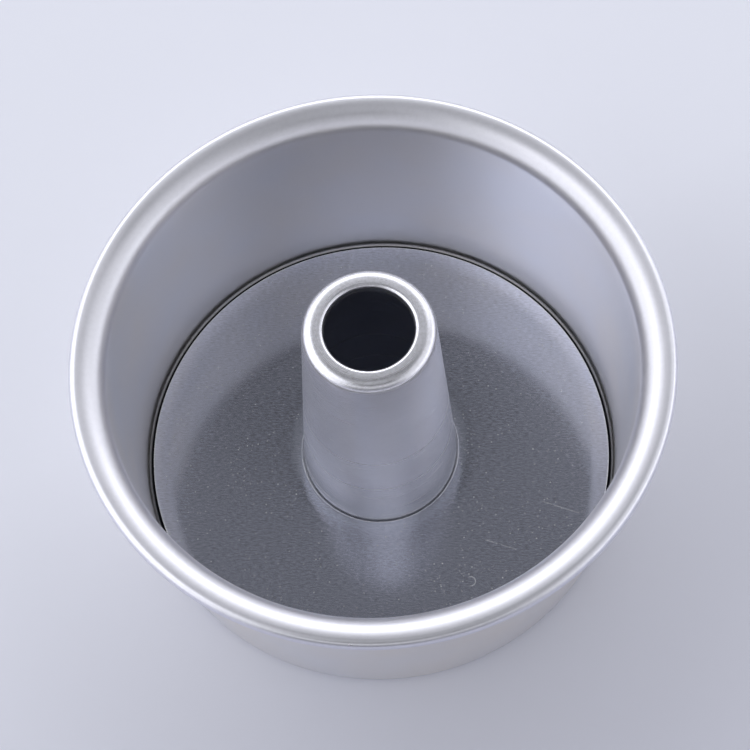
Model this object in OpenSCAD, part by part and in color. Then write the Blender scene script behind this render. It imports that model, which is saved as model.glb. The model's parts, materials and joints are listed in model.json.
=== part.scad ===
// Angel food cake pan in two halves, of satin anodised aluminium sheet.
// The outer ring is open below and carries the loose bottom on an inturned ledge.
// The bottom is a flat disc with a tapered tube standing in its centre hole.
// Millimetres. The origin is the centre of the underside, and +Z is the pan's axis.

/* [Outer ring] */
// Inner diameter of the mouth, where the wall starts to flare
mouth_d = 152.4; // [120:0.2:280]
// Height of the ring, from its underside to the crest of the rim
ring_h = 76.2; // [50:0.5:130]
// Lean of the wall from upright, in degrees
wall_taper = 1.6; // [0:0.1:6]
// Thickness of the ring's sheet
sheet_t = 1; // [1:0.1:1.8]
// Inside radius of the bend from the wall into the ledge
bend_r = 1.5; // [0.8:0.1:3]
// Width of the flat ledge that carries the bottom
ledge_w = 6; // [4:0.5:12]

/* [Rim] */
// Radius of the flare's upper face
flare_r = 7.6; // [4:0.1:12]
// Radius of the hollow inside the rim's curl
curl_r = 1.35; // [0.6:0.05:2.5]
// How far the sheet turns in the curl, in degrees
curl_turn = 270; // [180:5:270]

/* [Bottom] */
// Thickness of the bottom disc
disc_t = 1.2; // [1:0.1:2]
// Radius of the rounded edges of the disc and its centre hole
edge_r = 0.35; // [0.1:0.05:0.45]
// Play between the disc's rim and the start of the ring's bend
disc_play = 0.1; // [0.1:0.05:1]
// Gap between the tube and the edge of the disc's centre hole
seam_gap = 0.35; // [0.2:0.05:1]

/* [Centre tube] */
// Height of the tube's top above the pan's underside
tube_h = 90.9; // [60:0.1:150]
// Outer diameter of the tube just below its shoulder
tube_top_d = 37.8; // [34:0.1:44]
// Lean of the tube's wall from upright, in degrees
tube_taper = 3.7; // [1:0.1:6]
// Thickness of the tube's sheet
tube_t = 0.8; // [0.5:0.05:0.9]
// Outer radius of the shoulder that turns into the lip
shoulder_r = 3.4; // [1.2:0.1:4]
// Least flat left between the shoulder and the bend round the mouth
lip_flat = 0.5; // [0.2:0.1:1.5]
// Diameter of the mouth in the tube's inturned lip
tube_mouth_d = 25.4; // [20:0.1:26]
// Outer radius of the bend round the mouth
lip_r = 1.2; // [1:0.05:2]
// Depth of the lip, from the tube's top to its cut edge
lip_drop = 3.4; // [2.5:0.1:8]
// Width of the foot flange under the disc
flange_w = 6; // [3:0.5:12]

/* [Hidden] */
around = 128;
bend_steps = 8;
curl_steps = 24;
right_angle = 90;
half_turn = 180;

// Points along an arc of radius r about c, from angle a to angle b
function arc(c, r, a, b, steps = bend_steps) =
    [for (i = [0:steps]) let (turn = a + (b - a) * i / steps) c + r * [cos(turn), sin(turn)]];

// Ring outline: centres of the flare, of the lower bend and of the curl
flare_c = [mouth_d / 2 + flare_r * cos(wall_taper), ring_h - flare_r];
bend_z = sheet_t + bend_r;
bend_x = flare_c[0] - (flare_c[1] - bend_z) * tan(wall_taper)
    - (flare_r + bend_r) / cos(wall_taper);
bend_c = [bend_x, bend_z];
ledge_x = bend_x - ledge_w;
curl_c = [flare_c[0], ring_h - sheet_t - curl_r];
curl_end = right_angle - curl_turn;

// The disc lies on the ledge, and the tube's flange lies against the disc's underside
seat_z = sheet_t;
disc_top = seat_z + disc_t;
disc_r = bend_x - disc_play;

// Tube outline: centres of the shoulder and of the bend round the mouth
mouth_r = tube_mouth_d / 2;
shoulder_room = (tube_top_d / 2 - mouth_r - lip_r - lip_flat) / cos(tube_taper);
turn_r = min(shoulder_r, shoulder_room);
shoulder_c = [tube_top_d / 2 - turn_r * cos(tube_taper), tube_h - turn_r];
lip_c = [mouth_r + lip_r, tube_h - lip_r];
lip_z = tube_h - lip_drop;
wall_top = shoulder_c + turn_r * [cos(tube_taper), sin(tube_taper)];
foot_r = wall_top[0] + (wall_top[1] - seat_z) * tan(tube_taper);
foot_c = [foot_r, seat_z];
flange_r = foot_r + flange_w;
hole_r = foot_r + seam_gap;

// Spun ring: ledge, lower bend, tapered wall, flare and curled rim
module outer_ring() {
    color("silver")
        rotate_extrude($fn = around)
            polygon(concat(
                [[ledge_x, 0]],
                arc(bend_c, bend_r + sheet_t, -right_angle, -wall_taper),
                arc(flare_c, flare_r - sheet_t, half_turn - wall_taper, right_angle),
                arc(curl_c, curl_r, right_angle, curl_end, curl_steps),
                arc(curl_c, curl_r + sheet_t, curl_end, right_angle, curl_steps),
                arc(flare_c, flare_r, right_angle, half_turn - wall_taper),
                arc(bend_c, bend_r, -wall_taper, -right_angle),
                [[ledge_x, sheet_t]]
            ));
}

// Flat disc with rounded edges and a centre hole for the tube
module base_disc() {
    low = seat_z + edge_r;
    high = disc_top - edge_r;
    color("darkgray")
        rotate_extrude($fn = around)
            polygon(concat(
                arc([disc_r - edge_r, low], edge_r, -right_angle, 0),
                arc([disc_r - edge_r, high], edge_r, 0, right_angle),
                arc([hole_r + edge_r, high], edge_r, right_angle, half_turn),
                arc([hole_r + edge_r, low], edge_r, half_turn, half_turn + right_angle)
            ));
}

// Tapered tube with an inturned lip at the top and a foot flange under the disc
module centre_tube() {
    color("gray")
        rotate_extrude($fn = around)
            polygon(concat(
                [[flange_r, seat_z - tube_t], [flange_r, seat_z], foot_c],
                arc(shoulder_c, turn_r, tube_taper, right_angle),
                arc(lip_c, lip_r, right_angle, half_turn),
                [[mouth_r, lip_z], [mouth_r + tube_t, lip_z]],
                arc(lip_c, lip_r - tube_t, half_turn, right_angle),
                arc(shoulder_c, turn_r - tube_t, right_angle, tube_taper),
                arc(foot_c, tube_t, half_turn + tube_taper, half_turn + right_angle)
            ));
}

outer_ring();
base_disc();
centre_tube();
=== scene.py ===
"""Looks of an angel food cake pan: its ring, loose disc and centre tube, on a pale studio floor."""
import json
import math

import bmesh
import bpy
from mathutils import Matrix, Vector


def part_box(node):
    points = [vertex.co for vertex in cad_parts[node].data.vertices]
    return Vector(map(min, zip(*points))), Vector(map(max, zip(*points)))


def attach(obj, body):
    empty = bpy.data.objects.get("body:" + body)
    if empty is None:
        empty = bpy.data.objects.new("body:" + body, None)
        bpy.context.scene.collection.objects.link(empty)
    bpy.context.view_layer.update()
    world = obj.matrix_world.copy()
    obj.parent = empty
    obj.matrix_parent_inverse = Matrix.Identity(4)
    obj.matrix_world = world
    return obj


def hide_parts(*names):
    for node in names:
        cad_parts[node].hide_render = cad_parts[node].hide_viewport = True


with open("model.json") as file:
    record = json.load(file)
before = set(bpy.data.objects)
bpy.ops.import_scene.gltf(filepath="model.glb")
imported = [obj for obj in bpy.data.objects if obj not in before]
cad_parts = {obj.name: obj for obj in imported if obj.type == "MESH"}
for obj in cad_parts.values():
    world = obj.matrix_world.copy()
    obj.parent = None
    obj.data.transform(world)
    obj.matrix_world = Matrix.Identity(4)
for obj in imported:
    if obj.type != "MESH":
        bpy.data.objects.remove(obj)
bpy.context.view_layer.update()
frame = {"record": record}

bl_info = {
    "name": "Angel Food Cake Pan",
    "version": (1, 0, 0),
    "blender": (4, 5, 0),
    "location": "View3D > Sidebar > Cake Pan",
    "description": "Models and finishes the ring, the loose disc and the centre tube of a cake pan",
    "category": "Object",
}

# The frame's own sizes, from which the pieces take theirs
RING_LOW, RING_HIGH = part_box("outer_ring")
DISC_LOW, DISC_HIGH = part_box("base_disc")
TUBE_LOW, TUBE_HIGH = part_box("centre_tube")
MOUNTS = {mount["name"]: mount for mount in frame["record"]["mounts"]}
TUBE_MOUTH = 0.001 * MOUNTS["tube_mouth"]["dims"]["r_mm"]

# Modelling: sides of the spun solids, steps along arcs and walls, rounding and welding
MM = 0.001
QUARTER = math.pi / 2
SIDES = 256
ARC_STEP = math.radians(6)
WALL_LOOPS = 8 * MM
CORNER_TURN = math.radians(35)
CORNER_SEGMENTS = 4
SMOOTH_TURN = math.radians(32)
STARTER_SIZE = 0.1 * MM
WELD = 0.002 * MM

# The sheet's finish: its share of bare metal, how far its roughness strays with the spun lines
# and with the clouds, and how much paler its tone is where it is burnished
BARE_METAL = 0.95
LINE_STRAY = 0.015
CLOUD_STRAY = 0.02
BURNISHED = 1.12
# Ranges that hold most values of a noise, of one that peaks in pebbles, and of a broad one
NOISE_RANGE = (0.3, 0.7)
PEBBLE_RANGE = (0.45, 0.6)
BROAD_RANGE = (0.35, 0.65)
# Heights of the bumps
RING_LINE_DEPTH = 0.0015 * MM
TUBE_LINE_DEPTH = 0.0012 * MM
GRAIN_DEPTH = 0.003 * MM
RIM_PEEL_DEPTH = 0.02 * MM
LIP_PEEL_DEPTH = 0.025 * MM

# Marks on the disc, as places on its face: a curled scratch, two lines and clusters of dots
CURL_MARK = (24 * MM, -47 * MM)
CURL_MARK_RADIUS = 1.5 * MM
CURL_MARK_REACH = 0.3 * MM
LINE_MARK_REACH = 0.35 * MM
CLUSTER_REACH = (1.0 * MM, 4.5 * MM)
GRIT_SCALE = 1100.0
LINE_MARKS = (
    ((49 * MM, -23 * MM), (60 * MM, -28 * MM)),
    ((30 * MM, -34 * MM), (39 * MM, -38 * MM)),
)
CLUSTER_MARKS = ((23 * MM, -43 * MM), (14 * MM, -47 * MM), (-28 * MM, -13 * MM), (-47 * MM, -2 * MM))

# Light, in degrees: turns of the sides from the back, and elevations between the rows of panels
SIDE_TURNS = {"back": 0, "right": 90, "front": 180, "left": 270}
ROW_EDGES = (20, 40, 60)
PANEL_EDGE = 10
PANEL_REACH = 65
LIGHT_COLOUR = (0.97, 0.98, 1.0, 1)
# Turn, elevation, outer reach and inner reach of the round panel, and of the flag with its rows
FILL_PLACE = (180, 72, 18, 6)
FLAG_PLACE = (-2, 0, 16, 6)
FLAG_ROWS = (63.6, 67.8)
FLAG_EDGE = 1.6

# Floor and camera
FLOOR_SIZE = 20
# Range over which the floor's colour changes, as painted light and shade
FLOOR_PAINTED_LIGHT_TONES = (-0.6, 0.15)
FLOOR_ROUGHNESS = 0.7
FLOOR_SHEEN = 0.2
SENSOR_WIDTH = 36


def length(name, about, default):
    """A size property in metres."""
    return bpy.props.FloatProperty(
        name=name, description=about, default=default, min=0, soft_max=0.1,
        precision=5, unit="LENGTH", subtype="DISTANCE",
    )


def angle(name, about, degrees):
    """An angle property, stored in radians."""
    return bpy.props.FloatProperty(
        name=name, description=about, default=math.radians(degrees), subtype="ANGLE", unit="ROTATION",
    )


def share(name, about, default, high=1.0):
    """A plain number property from 0 up."""
    return bpy.props.FloatProperty(name=name, description=about, default=default, min=0, soft_max=high)


def colour(name, about, default):
    """A linear colour property."""
    return bpy.props.FloatVectorProperty(
        name=name, description=about, default=default, size=3, min=0, max=1, subtype="COLOR",
    )


def rows(name, about, default):
    """Strengths of the panels in one side's rows."""
    return bpy.props.FloatVectorProperty(
        name=name, description=about, default=default, size=3, min=0, soft_max=5,
    )


class PanRingSizes(bpy.types.PropertyGroup):
    """Sizes of the spun outer ring."""

    height: length("Height", "From the underside to the crest of the rim", RING_HIGH[2])
    mouth: length("Mouth", "Inner radius where the wall starts to flare", 76.2 * MM)
    lean: angle("Lean", "Lean of the wall from upright", 1.6)
    sheet: length("Sheet", "Thickness of the sheet, on which the disc rests", DISC_LOW[2])
    bend: length("Bend", "Inside radius of the bend into the ledge", 1.5 * MM)
    ledge: length("Ledge", "Width of the flat ledge", 6.0 * MM)
    flare: length("Flare", "Radius of the flare's upper face", 7.6 * MM)
    curl: length("Curl", "Radius of the hollow inside the rim's curl", 1.35 * MM)
    curl_turn: angle("Curl turn", "How far the sheet turns in the curl", 270)
    cut_edge: length("Cut edge", "Rounding of the sheet's cut edges", 0.15 * MM)


class PanDiscSizes(bpy.types.PropertyGroup):
    """Sizes of the loose bottom disc."""

    rim: length("Rim", "Outer radius", DISC_HIGH[0])
    top: length("Top", "Height of the upper face", DISC_HIGH[2])
    seam: length("Seam", "Gap between the tube and the edge of the hole", 0.35 * MM)
    edge: length("Edge", "Rounding of the rim and of the hole", 0.35 * MM)
    ring_spacing: length("Ring spacing", "Spacing of the loops across the face", 6.0 * MM)


class PanTubeSizes(bpy.types.PropertyGroup):
    """Sizes of the tapered centre tube."""

    height: length("Height", "Height of the lip above the floor", TUBE_HIGH[2])
    top: length("Top", "Outer radius just below the shoulder", 18.9 * MM)
    lean: angle("Lean", "Lean of the wall from upright", 3.7)
    sheet: length("Sheet", "Thickness of the tube's sheet", 0.8 * MM)
    shoulder: length("Shoulder", "Outer radius of the shoulder", 3.4 * MM)
    mouth: length("Mouth", "Radius of the hole in the lip", TUBE_MOUTH)
    lip: length("Lip", "Outer radius of the bend round the mouth", 1.2 * MM)
    lip_drop: length("Lip drop", "Depth of the lip down to its cut edge", 3.4 * MM)
    flange: length("Flange", "Outer radius of the foot flange", TUBE_HIGH[0])
    cut_edge: length("Cut edge", "Rounding of the sheet's cut edges", 0.12 * MM)


class PanFinish(bpy.types.PropertyGroup):
    """Colours and finish of the anodised sheet, with painted shade in the gap round the disc and
    inside the tube, and a painted highlight on the disc's edges.
    """

    ring: colour("Ring", "Reflection colour of the ring", (0.80, 0.80, 0.82))
    ring_warm: colour("Ring clouds", "Second tone of the ring, in soft clouds", (0.83, 0.80, 0.77))
    rim: colour("Rim", "Reflection colour of the flare and the curled rim", (0.78, 0.78, 0.85))
    # Painted shade: near-black colour deep in the gap round the disc, for the shadow that no light
    # reaches
    crevice: colour("Crevice", "Colour deep in the gap round the disc", (0.004, 0.004, 0.006))
    disc: colour("Disc", "Reflection colour of the disc", (0.65, 0.675, 0.82))
    rubbed: colour("Rubbed", "Colour where the disc is rubbed round the tube", (0.74, 0.79, 0.93))
    # Also the tone of the painted highlight along the disc's rim and hole
    scuffed_and_highlight: colour("Scuffed", "Colour of specks, marks and worn edges", (0.88, 0.90, 0.94))
    tube: colour("Tube", "Reflection colour of the tube", (0.89, 0.895, 0.935))
    # Painted shade: a duller, darker tone on the tube's inside, for the shade deep in the tube
    painted_tube_inside_shade: colour("Tube inside", "Duller tone of the tube's inside", (0.48, 0.50, 0.58))
    ring_roughness: share("Ring roughness", "Mean roughness of the ring", 0.33)
    disc_roughness: share("Disc roughness", "Mean roughness of the disc", 0.125)
    tube_roughness: share("Tube roughness", "Mean roughness of the tube", 0.26)
    low_line: length("Lower line", "Height of the tube's lower pale line", DISC_HIGH[2] + 23.0 * MM)
    high_line: length("Upper line", "Height of the tube's upper pale line", DISC_HIGH[2] + 40.6 * MM)
    line_width: length("Line width", "Half width of the pale lines", 0.35 * MM)


class PanStage(bpy.types.PropertyGroup):
    """Camera, floor and light."""

    lens: bpy.props.FloatProperty(
        name="Lens", description="Focal length on a 36 mm sensor", default=85.75, min=1, unit="CAMERA",
    )
    elevation: angle("Elevation", "Angle at which the camera looks down", 65.66)
    roll: angle("Roll", "Roll of the camera about its own axis", -5.3)
    camera_place: bpy.props.FloatVectorProperty(
        name="Camera place", description="Place of the camera", default=(0.00048, -0.21418, 0.53235),
        subtype="XYZ", unit="LENGTH",
    )
    # Painted light: the floor's colour runs from this pale tone behind the pan to a darker one in
    # front, for the fall-off of the light
    floor: colour("Floor", "Colour of the floor behind the pan", (0.835, 0.85, 0.95))
    floor_near_painted_shade: colour("Floor near", "Colour of the floor in front of the pan", (0.60, 0.605, 0.70))
    floor_painted_light_rise: bpy.props.FloatVectorProperty(
        name="Floor rise", description="Way in which the floor grows paler, per metre",
        default=(-1.2, 3.0, 0),
    )
    ceiling: share("Ceiling", "Light from overhead", 0.18, high=2)
    fill: share("Fill", "Light of the round panel above the camera", 0.3, high=2)
    flag: share("Flag", "How much light the black flag high behind the pan takes away", 0.85)
    back: rows("Back", "Low, middle and high panel behind the pan", (0.5, 3.2, 1.0))
    right: rows("Right", "Low, middle and high panel on the right", (1.6, 0.8, 0.9))
    front: rows("Front", "Low, middle and high panel behind the camera", (0.1, 0.8, 0.1))
    left: rows("Left", "Low, middle and high panel on the left", (1.7, 1.2, 2.0))


def arc(centre, radius, start, end):
    """Points along an arc about centre, from one angle to another, ends included."""
    steps = max(1, round(abs(end - start) / ARC_STEP))
    turns = [start + (end - start) * step / steps for step in range(steps + 1)]
    return [
        (centre[0] + radius * math.cos(turn), centre[1] + radius * math.sin(turn))
        for turn in turns
    ]


def along(start, end, spacing):
    """Points on a straight line between two points, both left out, no further apart than spacing."""
    steps = math.ceil(math.dist(start, end) / spacing)
    return [
        tuple(a + (b - a) * step / steps for a, b in zip(start, end))
        for step in range(1, steps)
    ]


def select_corners(piece):
    """In edit mode, select the outline's vertices at which it turns sharply."""
    shape = bmesh.from_edit_mesh(piece.data)
    for vertex in shape.verts:
        before, after = (edge.other_vert(vertex).co for edge in vertex.link_edges)
        vertex.select = (vertex.co - before).angle(after - vertex.co) > CORNER_TURN
    bmesh.update_edit_mesh(piece.data)


def lathe(name, outline, rounding):
    """Draw a closed outline beside the pan's axis, round its corners and spin it into a solid."""
    bpy.ops.object.select_all(action="DESELECT")
    bpy.ops.mesh.primitive_plane_add(size=STARTER_SIZE, location=(outline[0][0], 0, outline[0][1]))
    piece = bpy.context.object
    piece.name = piece.data.name = name
    bpy.ops.object.transform_apply(location=True, rotation=False, scale=False)
    bpy.ops.object.mode_set(mode="EDIT")
    bpy.ops.mesh.select_mode(type="VERT")
    bpy.ops.mesh.select_all(action="SELECT")
    bpy.ops.mesh.merge(type="CENTER")
    closed = outline + outline[:1]
    for (x, z), (next_x, next_z) in zip(closed, closed[1:]):
        step = (next_x - x, 0, next_z - z)
        bpy.ops.mesh.extrude_vertices_move(TRANSFORM_OT_translate={"value": step})
    bpy.ops.mesh.select_all(action="SELECT")
    bpy.ops.mesh.remove_doubles(threshold=WELD)
    bpy.ops.mesh.select_all(action="DESELECT")
    select_corners(piece)
    bpy.ops.mesh.bevel(offset=rounding, segments=CORNER_SEGMENTS, affect="VERTICES")
    bpy.ops.mesh.select_all(action="SELECT")
    bpy.ops.mesh.spin(steps=SIDES, angle=math.tau, center=(0, 0, 0), axis=(0, 0, 1))
    bpy.ops.mesh.select_all(action="SELECT")
    bpy.ops.mesh.remove_doubles(threshold=WELD)
    bpy.ops.mesh.normals_make_consistent(inside=False)
    bpy.ops.object.mode_set(mode="OBJECT")
    bpy.ops.object.shade_smooth_by_angle(angle=SMOOTH_TURN)
    if any(face.area == 0 for face in piece.data.polygons):
        raise RuntimeError(f"{name} has a face with no area")
    return piece


def ring_outline(sizes):
    """Section of the ring: ledge, lower bend, tapered wall, flare and curled rim."""
    lean, sheet = sizes.lean, sizes.sheet
    flare = (sizes.mouth + sizes.flare * math.cos(lean), sizes.height - sizes.flare)
    bend_z = sheet + sizes.bend
    bend_x = (
        flare[0] - (flare[1] - bend_z) * math.tan(lean)
        - (sizes.flare + sizes.bend) / math.cos(lean)
    )
    bend = (bend_x, bend_z)
    curl = (flare[0], sizes.height - sheet - sizes.curl)
    curl_end = QUARTER - sizes.curl_turn
    ledge_x = bend_x - sizes.ledge
    wall_out = arc(bend, sizes.bend + sheet, -QUARTER, -lean)
    flare_out = arc(flare, sizes.flare - sheet, math.pi - lean, QUARTER)
    flare_in = arc(flare, sizes.flare, QUARTER, math.pi - lean)
    wall_in = arc(bend, sizes.bend, -lean, -QUARTER)
    return (
        [(ledge_x, 0)]
        + wall_out
        + along(wall_out[-1], flare_out[0], WALL_LOOPS)
        + flare_out
        + arc(curl, sizes.curl, QUARTER, curl_end)[1:]
        + arc(curl, sizes.curl + sheet, curl_end, QUARTER)
        + flare_in[1:]
        + along(flare_in[-1], wall_in[0], WALL_LOOPS)
        + wall_in
        + [(ledge_x, sheet)]
    )


def tube_wall(sizes):
    """Centre of the shoulder, and the wall's outer radius at the disc's underside."""
    shoulder = (sizes.top - sizes.shoulder * math.cos(sizes.lean), sizes.height - sizes.shoulder)
    top_z = shoulder[1] + sizes.shoulder * math.sin(sizes.lean)
    foot = sizes.top + (top_z - DISC_LOW[2]) * math.tan(sizes.lean)
    return shoulder, foot


def disc_outline(sizes, tube):
    """Section of the disc, from its centre hole to its rim."""
    hole = tube_wall(tube)[1] + sizes.seam
    low, high = DISC_LOW[2], sizes.top
    corners = [(hole, low), (sizes.rim, low), (sizes.rim, high), (hole, high)]
    return (
        corners[:1] + along(corners[0], corners[1], sizes.ring_spacing)
        + corners[1:3] + along(corners[2], corners[3], sizes.ring_spacing) + corners[3:]
    )


def tube_outline(sizes):
    """Section of the tube: foot flange, tapered wall, shoulder, flat lip and downturned mouth."""
    lean, sheet = sizes.lean, sizes.sheet
    shoulder, foot = tube_wall(sizes)
    seat = DISC_LOW[2]
    lip = (sizes.mouth + sizes.lip, sizes.height - sizes.lip)
    lip_z = sizes.height - sizes.lip_drop
    shoulder_out = arc(shoulder, sizes.shoulder, lean, QUARTER)
    shoulder_in = arc(shoulder, sizes.shoulder - sheet, QUARTER, lean)
    foot_in = arc((foot, seat), sheet, math.pi + lean, math.pi + QUARTER)
    return (
        [(sizes.flange, seat - sheet), (sizes.flange, seat), (foot, seat)]
        + along((foot, seat), shoulder_out[0], WALL_LOOPS)
        + shoulder_out
        + arc(lip, sizes.lip, QUARTER, math.pi)
        + [(sizes.mouth, lip_z), (sizes.mouth + sheet, lip_z)]
        + arc(lip, sizes.lip - sheet, math.pi, QUARTER)
        + shoulder_in
        + along(shoulder_in[-1], foot_in[0], WALL_LOOPS)
        + foot_in
    )


def add_node(tree, kind, inputs=(), **settings):
    """Add a shader node, set its options, and set or link its inputs."""
    node = tree.nodes.new(kind)
    for key, value in settings.items():
        setattr(node, key, value)
    for key, value in dict(inputs).items():
        if isinstance(value, bpy.types.NodeSocket):
            tree.links.new(value, node.inputs[key])
        else:
            node.inputs[key].default_value = value
    return node


def maths(tree, operation, first, second=0.0):
    """One step of arithmetic on numbers or sockets."""
    return add_node(tree, "ShaderNodeMath", {0: first, 1: second}, operation=operation).outputs[0]


def scaled(tree, value, factor):
    """A value times another."""
    return maths(tree, "MULTIPLY", value, factor)


def vector_maths(tree, operation, output, *inputs):
    """One step of arithmetic on vectors, of which a named output is kept."""
    node = add_node(tree, "ShaderNodeVectorMath", dict(enumerate(inputs)), operation=operation)
    return node.outputs[output]


def blend(tree, amount, first, second):
    """A colour between two colours."""
    node = add_node(tree, "ShaderNodeMix", {"Factor": amount}, data_type="RGBA")
    for key, value in ((6, first), (7, second)):
        if isinstance(value, bpy.types.NodeSocket):
            tree.links.new(value, node.inputs[key])
        else:
            node.inputs[key].default_value = (*value, 1.0)
    return node.outputs[2]


def remap(tree, value, low, high, to_low=0.0, to_high=1.0, smooth=False):
    """A value moved from one range to another and held there."""
    node = add_node(
        tree, "ShaderNodeMapRange",
        {"Value": value, "From Min": low, "From Max": high, "To Min": to_low, "To Max": to_high},
        interpolation_type="SMOOTHSTEP" if smooth else "LINEAR",
    )
    return node.outputs["Result"]


def new_group(name, inputs, outputs):
    """An empty node group with a position input, named number inputs and named outputs."""
    group = bpy.data.node_groups.new(name, "ShaderNodeTree")
    group.interface.new_socket("Position", in_out="INPUT", socket_type="NodeSocketVector")
    for title, default in inputs.items():
        socket = group.interface.new_socket(title, in_out="INPUT", socket_type="NodeSocketFloat")
        socket.default_value = default
    for title in outputs:
        group.interface.new_socket(title, in_out="OUTPUT", socket_type="NodeSocketFloat")
    return group, group.nodes.new("NodeGroupInput").outputs, group.nodes.new("NodeGroupOutput").inputs


def round_parts(tree, position):
    """Distance from the axis, height, and the two parts of the unit direction away from the axis."""
    parts = add_node(tree, "ShaderNodeSeparateXYZ", {0: position}).outputs
    flat = add_node(tree, "ShaderNodeCombineXYZ", {0: parts[0], 1: parts[1]}).outputs[0]
    distance = vector_maths(tree, "LENGTH", "Value", flat)
    unit = vector_maths(tree, "NORMALIZE", "Vector", flat)
    turn = add_node(tree, "ShaderNodeSeparateXYZ", {0: unit}).outputs
    return distance, parts[2], turn[0], turn[1]


def spun_lines_group():
    """Fine rings left by spinning: noise that hardly changes round the axis."""
    tree, given, out = new_group("Spun lines", {"Spacing": 0.0004, "Drift": 3.0}, ["Height"])
    distance, height, cosine, sine = round_parts(tree, given["Position"])
    across = maths(tree, "DIVIDE", distance, given["Spacing"])
    up = maths(tree, "DIVIDE", height, given["Spacing"])
    round_x = scaled(tree, cosine, given["Drift"])
    round_y = scaled(tree, sine, given["Drift"])
    place = add_node(tree, "ShaderNodeCombineXYZ", {0: across, 1: up, 2: round_x}).outputs[0]
    noise = add_node(
        tree, "ShaderNodeTexNoise",
        {"Vector": place, "W": round_y, "Scale": 1.0, "Detail": 2.0, "Roughness": 0.6},
        noise_dimensions="4D",
    )
    tree.links.new(noise.outputs["Fac"], out["Height"])
    return tree


def rolled_grain_group():
    """Straight grain of rolled sheet: short fine streaks and soft broad bands."""
    inputs = {"Width": 0.0002, "Stretch": 7.0, "Slope": 0.0}
    tree, given, out = new_group("Rolled grain", inputs, ["Fine", "Broad"])
    turned = add_node(
        tree, "ShaderNodeVectorRotate", {"Vector": given["Position"], "Angle": given["Slope"]},
        rotation_type="Z_AXIS",
    ).outputs[0]
    parts = add_node(tree, "ShaderNodeSeparateXYZ", {0: turned}).outputs
    long_way = maths(tree, "DIVIDE", parts[0], scaled(tree, given["Width"], given["Stretch"]))
    across = maths(tree, "DIVIDE", parts[1], given["Width"])
    place = add_node(tree, "ShaderNodeCombineXYZ", {0: long_way, 1: across}).outputs[0]
    for title, scale, roughness in (("Fine", 1.0, 0.65), ("Broad", 0.05, 0.6)):
        noise = add_node(
            tree, "ShaderNodeTexNoise",
            {"Vector": place, "Scale": scale, "Detail": 3.0, "Roughness": roughness},
        )
        tree.links.new(noise.outputs["Fac"], out[title])
    return tree


def orange_peel_group():
    """Pebbled skin where the sheet was bent tight, fading in between two heights."""
    inputs = {"Size": 0.0016, "From": 0.0, "To": 1.0}
    tree, given, out = new_group("Orange peel", inputs, ["Height", "Mask"])
    height = add_node(tree, "ShaderNodeSeparateXYZ", {0: given["Position"]}).outputs[2]
    scale = maths(tree, "DIVIDE", 1.0, given["Size"])
    noise = add_node(
        tree, "ShaderNodeTexNoise",
        {"Vector": given["Position"], "Scale": scale, "Detail": 3.0, "Roughness": 0.55},
    ).outputs["Fac"]
    mask = remap(tree, height, given["From"], given["To"], smooth=True)
    tree.links.new(scaled(tree, noise, mask), out["Height"])
    tree.links.new(mask, out["Mask"])
    return tree


def specks_group():
    """Small pale specks in some of the cells, denser in loose patches."""
    tree, given, out = new_group("Specks", {"Spacing": 0.003, "Size": 0.12, "Share": 0.3}, ["Mask"])
    scale = maths(tree, "DIVIDE", 1.0, given["Spacing"])
    cells = add_node(
        tree, "ShaderNodeTexVoronoi", {"Vector": given["Position"], "Scale": scale},
    ).outputs
    patches = add_node(
        tree, "ShaderNodeTexNoise", {"Vector": given["Position"], "Scale": 55.0, "Detail": 1.0},
    ).outputs["Fac"]
    local_share = scaled(tree, remap(tree, patches, 0.38, 0.68, 0.25, 2.2), given["Share"])
    shades = add_node(tree, "ShaderNodeSeparateColor", {0: cells["Color"]}).outputs
    chosen = maths(tree, "LESS_THAN", shades[0], local_share)
    near = remap(tree, cells["Distance"], 0.0, given["Size"], 1.0, 0.0, smooth=True)
    faint = remap(tree, shades[1], 0.0, 1.0, 0.25, 1.0)
    tree.links.new(scaled(tree, scaled(tree, chosen, near), faint), out["Mask"])
    return tree


def flat_offset(tree, position, start):
    """Offset of a place on the disc from a point of its face."""
    offset = vector_maths(tree, "SUBTRACT", "Vector", position, (*start, 0))
    return vector_maths(tree, "MULTIPLY", "Vector", offset, (1, 1, 0))


def near_line(tree, position, start, end, reach):
    """How near a place on the disc lies to a straight mark, from 1 on it to 0 at its reach."""
    whole = Vector((end[0] - start[0], end[1] - start[1], 0))
    share_along = whole / whole.length_squared
    offset = flat_offset(tree, position, start)
    held = remap(tree, vector_maths(tree, "DOT_PRODUCT", "Value", offset, share_along), 0.0, 1.0)
    foot = add_node(tree, "ShaderNodeVectorMath", {0: whole, "Scale": held}, operation="SCALE")
    off = vector_maths(tree, "DISTANCE", "Value", offset, foot.outputs[0])
    return remap(tree, off, 0.0, reach, 1.0, 0.0, smooth=True)


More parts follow.
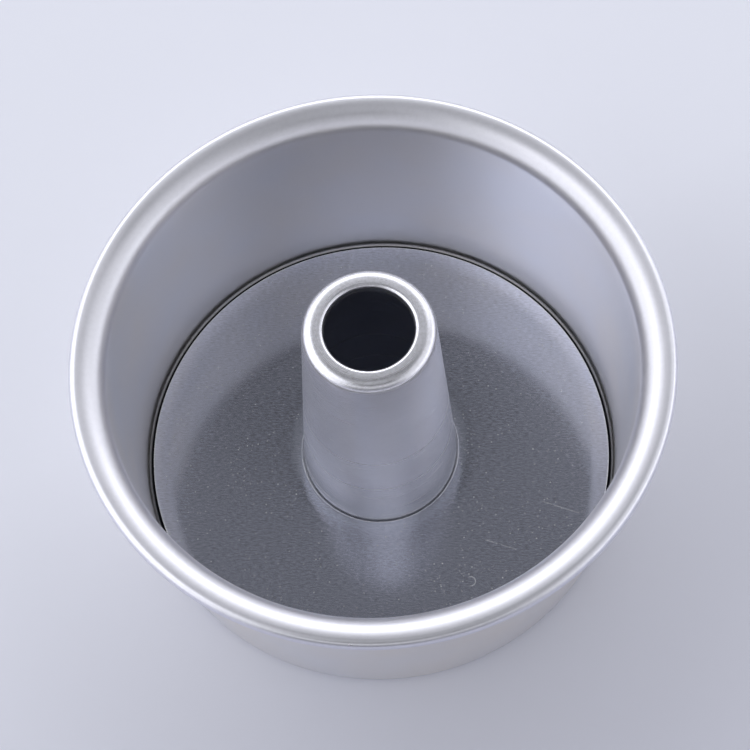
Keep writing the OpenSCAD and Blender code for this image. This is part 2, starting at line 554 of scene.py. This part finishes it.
def wear_marks_group():
    """The disc's own marks: a curled scratch, two faint lines and loose clusters of pale dots."""
    tree, given, out = new_group("Wear marks", {}, ["Mask"])
    position = given["Position"]
    distance, _, cosine, _ = round_parts(tree, flat_offset(tree, position, CURL_MARK))
    off = maths(tree, "ABSOLUTE", maths(tree, "SUBTRACT", distance, CURL_MARK_RADIUS))
    on_curl = remap(tree, off, 0.0, CURL_MARK_REACH, 1.0, 0.0)
    curl = scaled(tree, on_curl, remap(tree, cosine, -0.5, 0.0))
    grit = add_node(tree, "ShaderNodeTexVoronoi", {"Vector": position, "Scale": GRIT_SCALE}).outputs
    shades = add_node(tree, "ShaderNodeSeparateColor", {0: grit["Color"]}).outputs
    dots = remap(tree, grit["Distance"], 0.0, 0.45, 1.0, 0.0, smooth=True)
    dots = scaled(tree, dots, maths(tree, "LESS_THAN", shades[0], 0.45))
    mask = scaled(tree, curl, 0.7)
    dotted = remap(tree, shades[1], 0.0, 1.0, 0.15, 0.6)
    for start, end in LINE_MARKS:
        line = scaled(tree, near_line(tree, position, start, end, LINE_MARK_REACH), dotted)
        mask = maths(tree, "MAXIMUM", mask, line)
    for centre in CLUSTER_MARKS:
        out_to = round_parts(tree, flat_offset(tree, position, centre))[0]
        near = remap(tree, out_to, *CLUSTER_REACH, 1.0, 0.0, smooth=True)
        mask = maths(tree, "MAXIMUM", mask, scaled(tree, near, dots))
    tree.links.new(mask, out["Mask"])
    return tree


def rubbed_and_highlight_ring_group():
    """A ring round the axis, broken up by noise: where metal has rubbed on metal, and along the disc's
    edges for a painted highlight.
    """
    inputs = {"Radius": 0.03, "Reach": 0.001, "Grain": 900.0}
    tree, given, out = new_group("Rubbed ring", inputs, ["Mask"])
    distance = round_parts(tree, given["Position"])[0]
    off = maths(tree, "ABSOLUTE", maths(tree, "SUBTRACT", distance, given["Radius"]))
    near = remap(tree, maths(tree, "DIVIDE", off, given["Reach"]), 0.0, 1.0, 1.0, 0.0, smooth=True)
    noise = add_node(
        tree, "ShaderNodeTexNoise",
        {"Vector": given["Position"], "Scale": given["Grain"], "Detail": 3.0},
    ).outputs["Fac"]
    broken = remap(tree, noise, 0.25, 0.65, 0.35, 1.0)
    tree.links.new(scaled(tree, near, broken), out["Mask"])
    return tree


def painted_crevice_shade_group():
    """Mask of the narrow place between two radii and two heights, open at the top, where no light gets
    in: it places painted shade.
    """
    inputs = {"Inner": 0.07, "Outer": 0.075, "Bottom": 0.0007, "Top": 0.003, "Soft": 0.0003}
    tree, given, out = new_group("Crevice", inputs, ["Mask"])
    distance, height = round_parts(tree, given["Position"])[:2]
    past_inner = maths(tree, "SUBTRACT", distance, given["Inner"])
    short_of_outer = maths(tree, "SUBTRACT", given["Outer"], distance)
    below_top = maths(tree, "SUBTRACT", given["Top"], height)
    depth = maths(tree, "MINIMUM", maths(tree, "MINIMUM", past_inner, short_of_outer), below_top)
    deep = remap(tree, maths(tree, "DIVIDE", depth, given["Soft"]), 0.0, 1.0, smooth=True)
    above_bottom = maths(tree, "GREATER_THAN", height, given["Bottom"])
    tree.links.new(scaled(tree, deep, above_bottom), out["Mask"])
    return tree


def cloud_group():
    """Broad soft clouds over a surface, for slow changes of tone."""
    tree, given, out = new_group("Clouds", {"Size": 0.03}, ["Value"])
    scale = maths(tree, "DIVIDE", 1.0, given["Size"])
    noise = add_node(
        tree, "ShaderNodeTexNoise", {"Vector": given["Position"], "Scale": scale, "Detail": 2.0},
    ).outputs["Fac"]
    tree.links.new(remap(tree, noise, *NOISE_RANGE), out["Value"])
    return tree


def effect(tree, group, position, **values):
    """Place a node group in a material with its own values."""
    node = tree.nodes.new("ShaderNodeGroup")
    node.node_tree = bpy.data.node_groups[group]
    tree.links.new(position, node.inputs["Position"])
    for key, value in values.items():
        node.inputs[key].default_value = value
    return node.outputs


def sheet_material(name):
    """A material of bare metal, with its tree, its shader and the object's own coordinates."""
    material = bpy.data.materials.new(name)
    material.use_nodes = True
    tree = material.node_tree
    shader = tree.nodes["Principled BSDF"]
    shader.inputs["Metallic"].default_value = BARE_METAL
    position = tree.nodes.new("ShaderNodeTexCoord").outputs["Object"]
    return material, tree, shader, position


def bump(tree, height, depth, under=None):
    """A bump of a given depth in metres, on top of another if one is given."""
    inputs = {"Height": height, "Distance": depth, "Strength": 1.0}
    if under is not None:
        inputs["Normal"] = under
    return add_node(tree, "ShaderNodeBump", inputs).outputs[0]


def tint(tone, factor):
    """A colour made lighter or darker, kept at 1 or below."""
    return tuple(min(1.0, factor * part) for part in tone)


def line_roughness(tree, lines, mean):
    """A mean roughness that strays a little with the spun lines."""
    return maths(tree, "ADD", remap(tree, lines, *NOISE_RANGE, -LINE_STRAY, LINE_STRAY), mean)


def ring_material(finish):
    """Satin spun sheet: fine rings, slow clouds of tone, a pebbled flare, a burnished rim and painted
    shade deep in the gap round the disc.
    """
    material, tree, shader, position = sheet_material("ring_satin_sheet")
    lines = effect(tree, "Spun lines", position, Spacing=0.0005, Drift=4.0)["Height"]
    crest = RING_HIGH[2]
    peel = effect(tree, "Orange peel", position, Size=0.0014, From=crest - 8 * MM, To=crest - 2 * MM)
    stretched = peel["Mask"]
    clouds = effect(tree, "Clouds", position, Size=0.035)["Value"]
    # Burnish along the rim's crest: a paler, smoother band of real wear
    wear_and_painted_highlight = effect(
        tree, "Rubbed ring", position, Radius=RING_HIGH[0] - 0.8 * MM, Reach=0.0016, Grain=300.0,
    )["Mask"]
    sheet = blend(tree, clouds, finish.ring, finish.ring_warm)
    sheet = blend(tree, stretched, sheet, finish.rim)
    sheet = blend(tree, scaled(tree, wear_and_painted_highlight, 0.6), sheet, tint(finish.rim, BURNISHED))
    mottled = scaled(tree, remap(tree, peel["Height"], *PEBBLE_RANGE), 0.15)
    sheet = blend(tree, mottled, sheet, tint(finish.rim, 0.85))
    # Painted shade: the ring deep in the gap round the disc turns near-black, standing in for the
    # shadow there
    crevice = effect(
        tree, "Crevice", position, Inner=DISC_HIGH[0] - 2.0 * MM, Outer=DISC_HIGH[0] + 1.5 * MM,
        Bottom=0.7 * MM, Top=DISC_HIGH[2] + 1.0 * MM, Soft=0.8 * MM,
    )["Mask"]
    tree.links.new(blend(tree, crevice, sheet, finish.crevice), shader.inputs["Base Color"])
    rough = line_roughness(tree, lines, finish.ring_roughness)
    rough = maths(tree, "ADD", rough, remap(tree, clouds, 0.0, 1.0, -CLOUD_STRAY, CLOUD_STRAY))
    rough = maths(tree, "ADD", rough, scaled(tree, stretched, 0.08))
    rough = maths(tree, "SUBTRACT", rough, scaled(tree, wear_and_painted_highlight, 0.12))
    tree.links.new(rough, shader.inputs["Roughness"])
    normal = bump(tree, lines, RING_LINE_DEPTH)
    normal = bump(tree, peel["Height"], RIM_PEEL_DEPTH, under=normal)
    tree.links.new(normal, shader.inputs["Normal"])
    return material


def disc_material(finish, sizes, tube):
    """Rolled sheet: streaks of grain, pale specks and marks, a rubbed ring round the tube and a
    painted highlight along its rim and hole.
    """
    material, tree, shader, position = sheet_material("disc_rolled_sheet")
    slope = math.radians(9)
    grain = effect(tree, "Rolled grain", position, Width=0.42 * MM, Stretch=4.0, Slope=slope)
    specks = effect(tree, "Specks", position, Spacing=0.0013, Size=0.3, Share=0.3)["Mask"]
    marks = effect(tree, "Wear marks", position)["Mask"]
    foot = tube_wall(tube)[1]
    rubbed = effect(
        tree, "Rubbed ring", position, Radius=foot + 2.2 * MM, Reach=2.6 * MM, Grain=1500.0,
    )["Mask"]
    # Painted highlight: pale, hazier rings just inside the disc's rim and hole stand in for the bright
    # lines on their rounded edges
    edges = [
        effect(tree, "Rubbed ring", position, Radius=radius, Reach=0.4 * MM, Grain=200.0)["Mask"]
        for radius in (foot + sizes.seam + 0.2 * MM, sizes.rim - 0.2 * MM)
    ]
    wear_and_painted_highlight = maths(tree, "MAXIMUM", *edges)
    scuffs = maths(tree, "MAXIMUM", specks, marks)
    streaks = remap(tree, grain["Fine"], *NOISE_RANGE)
    dull, bright = tint(finish.disc, 0.74), tint(finish.disc, 1.2)
    sheet = blend(tree, streaks, dull, bright)
    broad = scaled(tree, remap(tree, grain["Broad"], *BROAD_RANGE), 0.3)
    sheet = blend(tree, broad, sheet, finish.disc)
    sheet = blend(tree, scaled(tree, rubbed, 0.35), sheet, finish.rubbed)
    sheet = blend(tree, scuffs, sheet, finish.scuffed_and_highlight)
    sheet = blend(tree, scaled(tree, wear_and_painted_highlight, 0.8), sheet, finish.scuffed_and_highlight)
    tree.links.new(sheet, shader.inputs["Base Color"])
    haze = maths(tree, "ADD", scaled(tree, streaks, 0.03), scaled(tree, rubbed, 0.06))
    haze = maths(tree, "ADD", haze, scaled(tree, scuffs, 0.6))
    haze = maths(tree, "ADD", haze, scaled(tree, wear_and_painted_highlight, 0.25))
    tree.links.new(maths(tree, "SUBTRACT", 1.0, haze), shader.inputs["Metallic"])
    rough = maths(tree, "ADD", scaled(tree, streaks, 0.05), finish.disc_roughness)
    rough = maths(tree, "ADD", rough, scaled(tree, maths(tree, "MAXIMUM", scuffs, wear_and_painted_highlight), 0.15))
    tree.links.new(rough, shader.inputs["Roughness"])
    tree.links.new(bump(tree, grain["Fine"], GRAIN_DEPTH), shader.inputs["Normal"])
    return material


def tube_material(finish, sizes):
    """Drawn sheet: fine rings up the wall, two pale draw lines, a pebbled lip and painted shade on its
    inside.
    """
    material, tree, shader, position = sheet_material("tube_drawn_sheet")
    lines = effect(tree, "Spun lines", position, Spacing=0.0005, Drift=1.2)["Height"]
    crown = TUBE_HIGH[2]
    peel = effect(
        tree, "Orange peel", position, Size=1.0 * MM, From=crown - 3.0 * MM, To=crown - 0.8 * MM,
    )
    clouds = effect(tree, "Clouds", position, Size=0.02)["Value"]
    distance, height = round_parts(tree, position)[:2]
    drawn = 0.0
    for mark, strength in ((finish.low_line, 1.0), (finish.high_line, 0.6)):
        off = maths(tree, "ABSOLUTE", maths(tree, "SUBTRACT", height, mark))
        line = remap(tree, off, 0.0, finish.line_width, strength, 0.0, smooth=True)
        drawn = maths(tree, "ADD", line, drawn)
    sheet = blend(tree, clouds, tint(finish.tube, 0.96), tint(finish.tube, 1.03))
    sheet = blend(tree, peel["Mask"], sheet, tint(finish.rim, BURNISHED))
    sheet = blend(tree, scaled(tree, drawn, 0.3), sheet, (0.98, 0.98, 1.0))
    mottled = scaled(tree, remap(tree, peel["Height"], *PEBBLE_RANGE), 0.4)
    sheet = blend(tree, mottled, sheet, tint(finish.tube, 0.75))
    # Painted shade: the tube's inside below the lip takes a duller, darker tone, standing in for the
    # shade in the deep tube
    middle = tube_wall(sizes)[1] - 0.5 * sizes.sheet
    wall_at = maths(tree, "SUBTRACT", middle, scaled(tree, height, math.tan(sizes.lean)))
    inside = remap(tree, maths(tree, "SUBTRACT", wall_at, distance), 0.0, 0.2 * MM)
    below_lip = remap(tree, height, crown - sizes.lip_drop, crown - 2.0 * MM, 1.0, 0.0)
    inside = scaled(tree, inside, below_lip)
    tree.links.new(blend(tree, inside, sheet, finish.painted_tube_inside_shade), shader.inputs["Base Color"])
    rough = line_roughness(tree, lines, finish.tube_roughness)
    rough = maths(tree, "ADD", rough, scaled(tree, peel["Mask"], 0.02))
    rough = maths(tree, "ADD", rough, scaled(tree, drawn, 0.08))
    tree.links.new(rough, shader.inputs["Roughness"])
    normal = bump(tree, lines, TUBE_LINE_DEPTH)
    normal = bump(tree, peel["Height"], LIP_PEEL_DEPTH, under=normal)
    tree.links.new(normal, shader.inputs["Normal"])
    return material


def finish_piece(piece, material, body, node):
    """Give a piece its material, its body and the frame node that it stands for."""
    piece.data.materials.clear()
    piece.data.materials.append(material)
    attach(piece, body)
    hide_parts(node)


class PanRing(bpy.types.Operator):
    """Spin the outer ring from one sheet, with its ledge, flare and curled rim."""

    bl_idname = "cake_pan.ring"
    bl_label = "Outer Ring"

    def execute(self, context):
        sizes = context.scene.pan_ring
        ring = lathe("outer_ring_sheet", ring_outline(sizes), sizes.cut_edge)
        looks = ring_material(context.scene.pan_finish)
        finish_piece(ring, looks, "ring", "outer_ring")
        return {"FINISHED"}


class PanDisc(bpy.types.Operator):
    """Make the loose flat disc with its centre hole."""

    bl_idname = "cake_pan.disc"
    bl_label = "Bottom Disc"

    def execute(self, context):
        sizes, tube = context.scene.pan_disc, context.scene.pan_tube
        disc = lathe("base_disc_sheet", disc_outline(sizes, tube), sizes.edge)
        looks = disc_material(context.scene.pan_finish, sizes, tube)
        finish_piece(disc, looks, "loose_bottom", "base_disc")
        return {"FINISHED"}


class PanTube(bpy.types.Operator):
    """Spin the tapered centre tube with its lip and foot flange."""

    bl_idname = "cake_pan.tube"
    bl_label = "Centre Tube"

    def execute(self, context):
        sizes = context.scene.pan_tube
        tube = lathe("centre_tube_sheet", tube_outline(sizes), sizes.cut_edge)
        looks = tube_material(context.scene.pan_finish, sizes)
        finish_piece(tube, looks, "loose_bottom", "centre_tube")
        return {"FINISHED"}


def build_floor(settings):
    """A wide pale floor that takes the pan's shadow, with painted light: its colour darkens towards
    the front.
    """
    bpy.ops.object.select_all(action="DESELECT")
    bpy.ops.mesh.primitive_plane_add(size=FLOOR_SIZE, location=(0, 0, 0))
    floor = bpy.context.object
    floor.name = "floor"
    material = bpy.data.materials.new("floor_paper")
    material.use_nodes = True
    tree = material.node_tree
    shader = tree.nodes["Principled BSDF"]
    position = tree.nodes.new("ShaderNodeTexCoord").outputs["Object"]
    # Painted light and shade: the floor grows paler towards the back left and darker towards the front
    # right
    far = vector_maths(tree, "DOT_PRODUCT", "Value", position, settings.floor_painted_light_rise)
    tone = remap(tree, far, *FLOOR_PAINTED_LIGHT_TONES)
    painted_floor_light = blend(tree, tone, settings.floor_near_painted_shade, settings.floor)
    tree.links.new(painted_floor_light, shader.inputs["Base Color"])
    shader.inputs["Roughness"].default_value = FLOOR_ROUGHNESS
    shader.inputs["Specular IOR Level"].default_value = FLOOR_SHEEN
    floor.data.materials.append(material)


def above(tree, height, edge, soft):
    """How far a direction lies above an elevation in degrees, from 0 to 1 across a soft edge."""
    ends = [math.sin(math.radians(edge + side * soft)) for side in (-1, 1)]
    return remap(tree, height, *ends, smooth=True)


def facing(tree, direction, turn, elevation, outer, inner=0.0):
    """How near a direction lies to another: 0 at an outer angle and 1 at an inner one, in degrees."""
    turn, elevation, outer, inner = (math.radians(part) for part in (turn, elevation, outer, inner))
    out = math.cos(elevation)
    toward = (math.sin(turn) * out, math.cos(turn) * out, math.sin(elevation))
    near = vector_maths(tree, "DOT_PRODUCT", "Value", direction, toward)
    return remap(tree, near, math.cos(outer), math.cos(inner), smooth=True)


def build_world(settings):
    """Soft studio light: three rows of four panels, a round panel, a dim ceiling and a black flag."""
    world = bpy.data.worlds.new("studio")
    bpy.context.scene.world = world
    world.use_nodes = True
    tree = world.node_tree
    place = tree.nodes.new("ShaderNodeTexCoord").outputs["Generated"]
    parts = add_node(tree, "ShaderNodeSeparateXYZ", {0: place}).outputs
    level = add_node(tree, "ShaderNodeCombineXYZ", {0: parts[0], 1: parts[1]}).outputs[0]
    flat = vector_maths(tree, "NORMALIZE", "Vector", level)
    edges = [1.0] + [above(tree, parts[2], edge, PANEL_EDGE) for edge in ROW_EDGES]
    light = scaled(tree, edges[-1], settings.ceiling)
    fill = scaled(tree, facing(tree, place, *FILL_PLACE), settings.fill)
    light = maths(tree, "ADD", light, fill)
    for side, turn in SIDE_TURNS.items():
        toward = facing(tree, flat, turn, 0, PANEL_REACH)
        for row, lower, upper in zip(getattr(settings, side), edges, edges[1:]):
            between = scaled(tree, maths(tree, "SUBTRACT", lower, upper), row)
            light = maths(tree, "ADD", scaled(tree, toward, between), light)
    low, high = (above(tree, parts[2], edge, FLAG_EDGE) for edge in FLAG_ROWS)
    flag = scaled(tree, maths(tree, "SUBTRACT", low, high), facing(tree, flat, *FLAG_PLACE))
    left_over = maths(tree, "SUBTRACT", 1.0, scaled(tree, flag, settings.flag))
    light = scaled(tree, light, left_over)
    tree.links.new(light, tree.nodes["Background"].inputs["Strength"])
    tree.nodes["Background"].inputs["Color"].default_value = LIGHT_COLOUR


def build_camera(settings):
    """The camera that sees the pan as the photograph does."""
    data = bpy.data.cameras.new("camera")
    data.lens = settings.lens
    data.sensor_width = SENSOR_WIDTH
    camera = bpy.data.objects.new("camera", data)
    bpy.context.scene.collection.objects.link(camera)
    tilt = Matrix.Rotation(QUARTER - settings.elevation, 4, "X")
    roll = Matrix.Rotation(settings.roll, 4, "Z")
    camera.matrix_world = Matrix.Translation(settings.camera_place) @ tilt @ roll
    bpy.context.scene.camera = camera


class PanStudio(bpy.types.Operator):
    """Set up the floor, the light and the camera."""

    bl_idname = "cake_pan.studio"
    bl_label = "Studio"

    def execute(self, context):
        settings = context.scene.pan_stage
        context.scene.view_settings.view_transform = "Standard"
        build_floor(settings)
        build_world(settings)
        build_camera(settings)
        return {"FINISHED"}


class PanPanel(bpy.types.Panel):
    """Sizes, colours and build buttons of the cake pan."""

    bl_idname = "VIEW3D_PT_cake_pan"
    bl_label = "Cake Pan"
    bl_space_type = "VIEW_3D"
    bl_region_type = "UI"
    bl_category = "Cake Pan"

    def draw(self, context):
        for operator in OPERATORS:
            self.layout.operator(operator.bl_idname)
        for title in GROUPS:
            box = self.layout.box()
            box.label(text=title.replace("_", " ").capitalize())
            group = getattr(context.scene, title)
            for key in group.__annotations__:
                box.prop(group, key)


OPERATORS = (PanStudio, PanRing, PanDisc, PanTube)
GROUPS = {
    "pan_ring": PanRingSizes,
    "pan_disc": PanDiscSizes,
    "pan_tube": PanTubeSizes,
    "pan_finish": PanFinish,
    "pan_stage": PanStage,
}
EFFECTS = (
    spun_lines_group, rolled_grain_group, orange_peel_group, specks_group, wear_marks_group,
    rubbed_and_highlight_ring_group, painted_crevice_shade_group, cloud_group,
)


def register():
    """Register the classes and hang the property groups on the scene."""
    for made in (*GROUPS.values(), *OPERATORS, PanPanel):
        bpy.utils.register_class(made)
    for title, group in GROUPS.items():
        setattr(bpy.types.Scene, title, bpy.props.PointerProperty(type=group))


def unregister():
    """Undo register."""
    for title in GROUPS:
        delattr(bpy.types.Scene, title)
    for made in (PanPanel, *reversed(OPERATORS), *GROUPS.values()):
        bpy.utils.unregister_class(made)


def main():
    """Build the effects, the studio and the pieces."""
    register()
    for make_effect in EFFECTS:
        make_effect()
    bpy.ops.cake_pan.studio()
    bpy.ops.cake_pan.ring()
    bpy.ops.cake_pan.disc()
    bpy.ops.cake_pan.tube()


if __name__ == "__main__":
    main()
